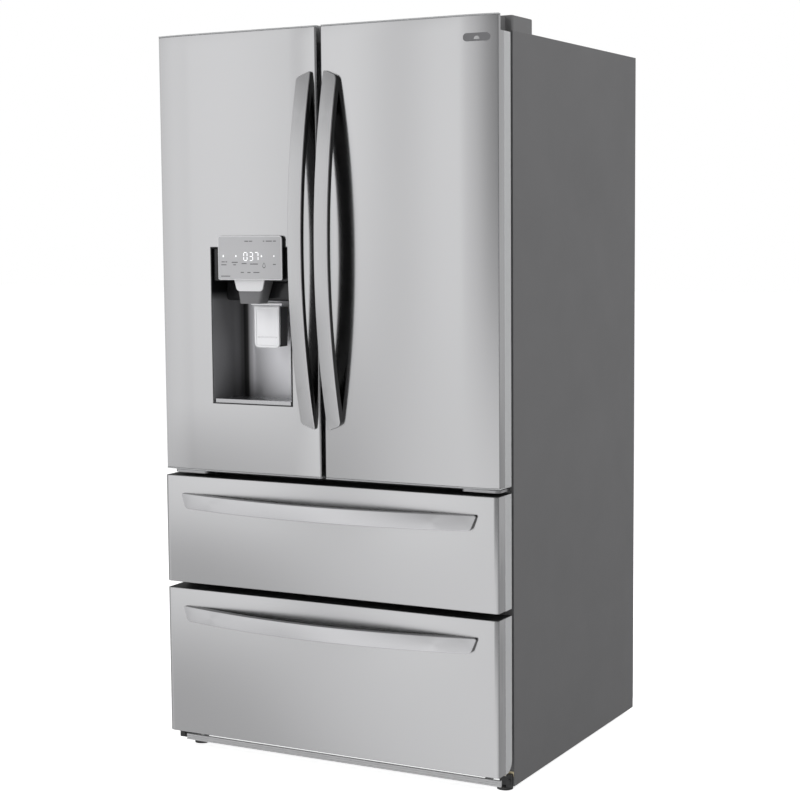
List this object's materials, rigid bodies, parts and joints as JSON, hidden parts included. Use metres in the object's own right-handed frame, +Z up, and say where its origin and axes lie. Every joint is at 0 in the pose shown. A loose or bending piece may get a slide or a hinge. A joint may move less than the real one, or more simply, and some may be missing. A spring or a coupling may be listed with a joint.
{
  "type": "french door refrigerator",
  "caption": "Free-standing refrigerator with side-hinged fridge doors over stacked freezer drawers, bow handles and a door ice and water dispenser.",
  "frame": {"origin": "on the floor at the middle of the footprint, handles included", "axes": "+X to the right of someone facing the doors, +Y towards the back, +Z up"},
  "size_m": [0.908, 0.914, 1.771],
  "materials": {
    "case_paint": "satin",
    "galvanised": "satin",
    "foam": "matte",
    "liner_white": "gloss",
    "dark_plastic": "satin",
    "hinge_steel": "satin",
    "fin_aluminium": "satin",
    "black_paint": "satin",
    "black_rubber": "matte",
    "grille_grey": "satin",
    "shelf_glass": "gloss",
    "bracket_white": "satin",
    "light_lens": "satin",
    "rail_steel": "satin",
    "foot_plastic": "matte",
    "roller_plastic": "matte",
    "clear_plastic": "gloss",
    "stainless": "satin",
    "door_liner": "satin",
    "cap_grey": "satin",
    "gasket_grey": "matte",
    "handle_steel": "satin",
    "niche_dark": "satin",
    "panel_silver": "satin",
    "tray_grey": "satin",
    "paddle_silver": "satin",
    "basket_white": "satin"
  },
  "bodies": {
    "cabinet": {"outer_case": "case_paint", "back_panel": "galvanised", "base_pan": "galvanised", "insulation": "foam", "fridge_liner": "liner_white", "freezer_liner": "liner_white", "front_rails": "case_paint", "hinge_covers": "dark_plastic", "top_hinges": "hinge_steel", "middle_hinges": "hinge_steel", "duct_panel": "liner_white", "evaporator": "fin_aluminium", "cooling_unit": "black_paint", "machine_cover": "galvanised", "cord_gland": "black_rubber", "base_grille": "grille_grey", "foot_brackets": "black_paint", "glass_shelves": "shelf_glass", "shelf_brackets": "bracket_white", "light_panel": "light_lens", "drawer_rails": "rail_steel"},
    "left_front_leg": {"left_front_leg": "foot_plastic"},
    "right_front_leg": {"right_front_leg": "foot_plastic"},
    "left_rear_roller": {"left_rear_roller": "roller_plastic"},
    "right_rear_roller": {"right_rear_roller": "roller_plastic"},
    "left_crisper": {"left_crisper": "clear_plastic"},
    "right_crisper": {"right_crisper": "clear_plastic"},
    "pantry_drawer": {"pantry_drawer": "clear_plastic"},
    "left_door": {"left_door_skin": "stainless", "left_door_liner": "door_liner", "left_door_caps": "cap_grey", "left_door_gasket": "gasket_grey", "left_door_handle": "handle_steel", "dispenser_housing": "niche_dark", "dispenser_panel": "panel_silver", "ice_chute": "niche_dark", "drip_tray": "tray_grey", "ice_bin": "clear_plastic", "left_door_bins": "clear_plastic"},
    "dispenser_paddle": {"dispenser_paddle": "paddle_silver"},
    "ice_door": {"ice_door": "liner_white"},
    "flip_mullion": {"flip_mullion": "cap_grey"},
    "right_door": {"right_door_skin": "stainless", "right_door_liner": "door_liner", "right_door_caps": "cap_grey", "right_door_gasket": "gasket_grey", "right_door_handle": "handle_steel", "right_door_bins": "clear_plastic"},
    "upper_drawer": {"upper_drawer_skin": "stainless", "upper_drawer_liner": "door_liner", "upper_drawer_gasket": "gasket_grey", "upper_drawer_handle": "handle_steel", "upper_drawer_basket": "basket_white", "upper_drawer_slides": "rail_steel"},
    "lower_drawer": {"lower_drawer_skin": "stainless", "lower_drawer_liner": "door_liner", "lower_drawer_gasket": "gasket_grey", "lower_drawer_handle": "handle_steel", "lower_drawer_basket": "basket_white", "lower_drawer_slides": "rail_steel"}
  },
  "joints": [
    {"name": "left_door_hinge", "type": "hinge", "parent": "cabinet", "child": "left_door", "pos_m": [-0.43, -0.355, 0.7], "axis": [0, 0, -1], "range_deg": [0, 115]},
    {"name": "right_door_hinge", "type": "hinge", "parent": "cabinet", "child": "right_door", "pos_m": [0.43, -0.355, 0.7], "axis": [0, 0, 1], "range_deg": [0, 115]},
    {"name": "upper_drawer_slide", "type": "slide", "parent": "cabinet", "child": "upper_drawer", "axis": [0, -1, 0], "range_m": [0, 0.42]},
    {"name": "lower_drawer_slide", "type": "slide", "parent": "cabinet", "child": "lower_drawer", "axis": [0, -1, 0], "range_m": [0, 0.36]},
    {"name": "left_crisper_slide", "type": "slide", "parent": "cabinet", "child": "left_crisper", "axis": [0, -1, 0], "range_m": [0, 0.03]},
    {"name": "right_crisper_slide", "type": "slide", "parent": "cabinet", "child": "right_crisper", "axis": [0, -1, 0], "range_m": [0, 0.05]},
    {"name": "pantry_drawer_slide", "type": "slide", "parent": "cabinet", "child": "pantry_drawer", "axis": [0, -1, 0], "range_m": [0, 0.05]},
    {"name": "dispenser_paddle_pivot", "type": "hinge", "parent": "left_door", "child": "dispenser_paddle", "pos_m": [-0.1855, -0.34, 1.122], "axis": [1, 0, 0], "range_deg": [0, 10], "stiffness_Nm_per_rad": 0.4},
    {"name": "ice_door_hinge", "type": "hinge", "parent": "left_door", "child": "ice_door", "pos_m": [-0.357, -0.195, 1.4], "axis": [0, 0, 1], "range_deg": [0, 5]},
    {"name": "flip_mullion_hinge", "type": "hinge", "parent": "left_door", "child": "flip_mullion", "pos_m": [-0.025, -0.3025, 1.2], "axis": [0, 0, -1], "range_deg": [0, 90]},
    {"name": "left_leg_screw", "type": "hinge", "parent": "cabinet", "child": "left_front_leg", "pos_m": [-0.425, -0.301, 0], "axis": [0, 0, 1], "continuous": true},
    {"name": "right_leg_screw", "type": "hinge", "parent": "cabinet", "child": "right_front_leg", "pos_m": [0.425, -0.301, 0], "axis": [0, 0, 1], "continuous": true},
    {"name": "left_roller_axle", "type": "hinge", "parent": "cabinet", "child": "left_rear_roller", "pos_m": [-0.38, 0.402, 0.015], "axis": [1, 0, 0], "continuous": true},
    {"name": "right_roller_axle", "type": "hinge", "parent": "cabinet", "child": "right_rear_roller", "pos_m": [0.38, 0.402, 0.015], "axis": [1, 0, 0], "continuous": true}
  ]
}
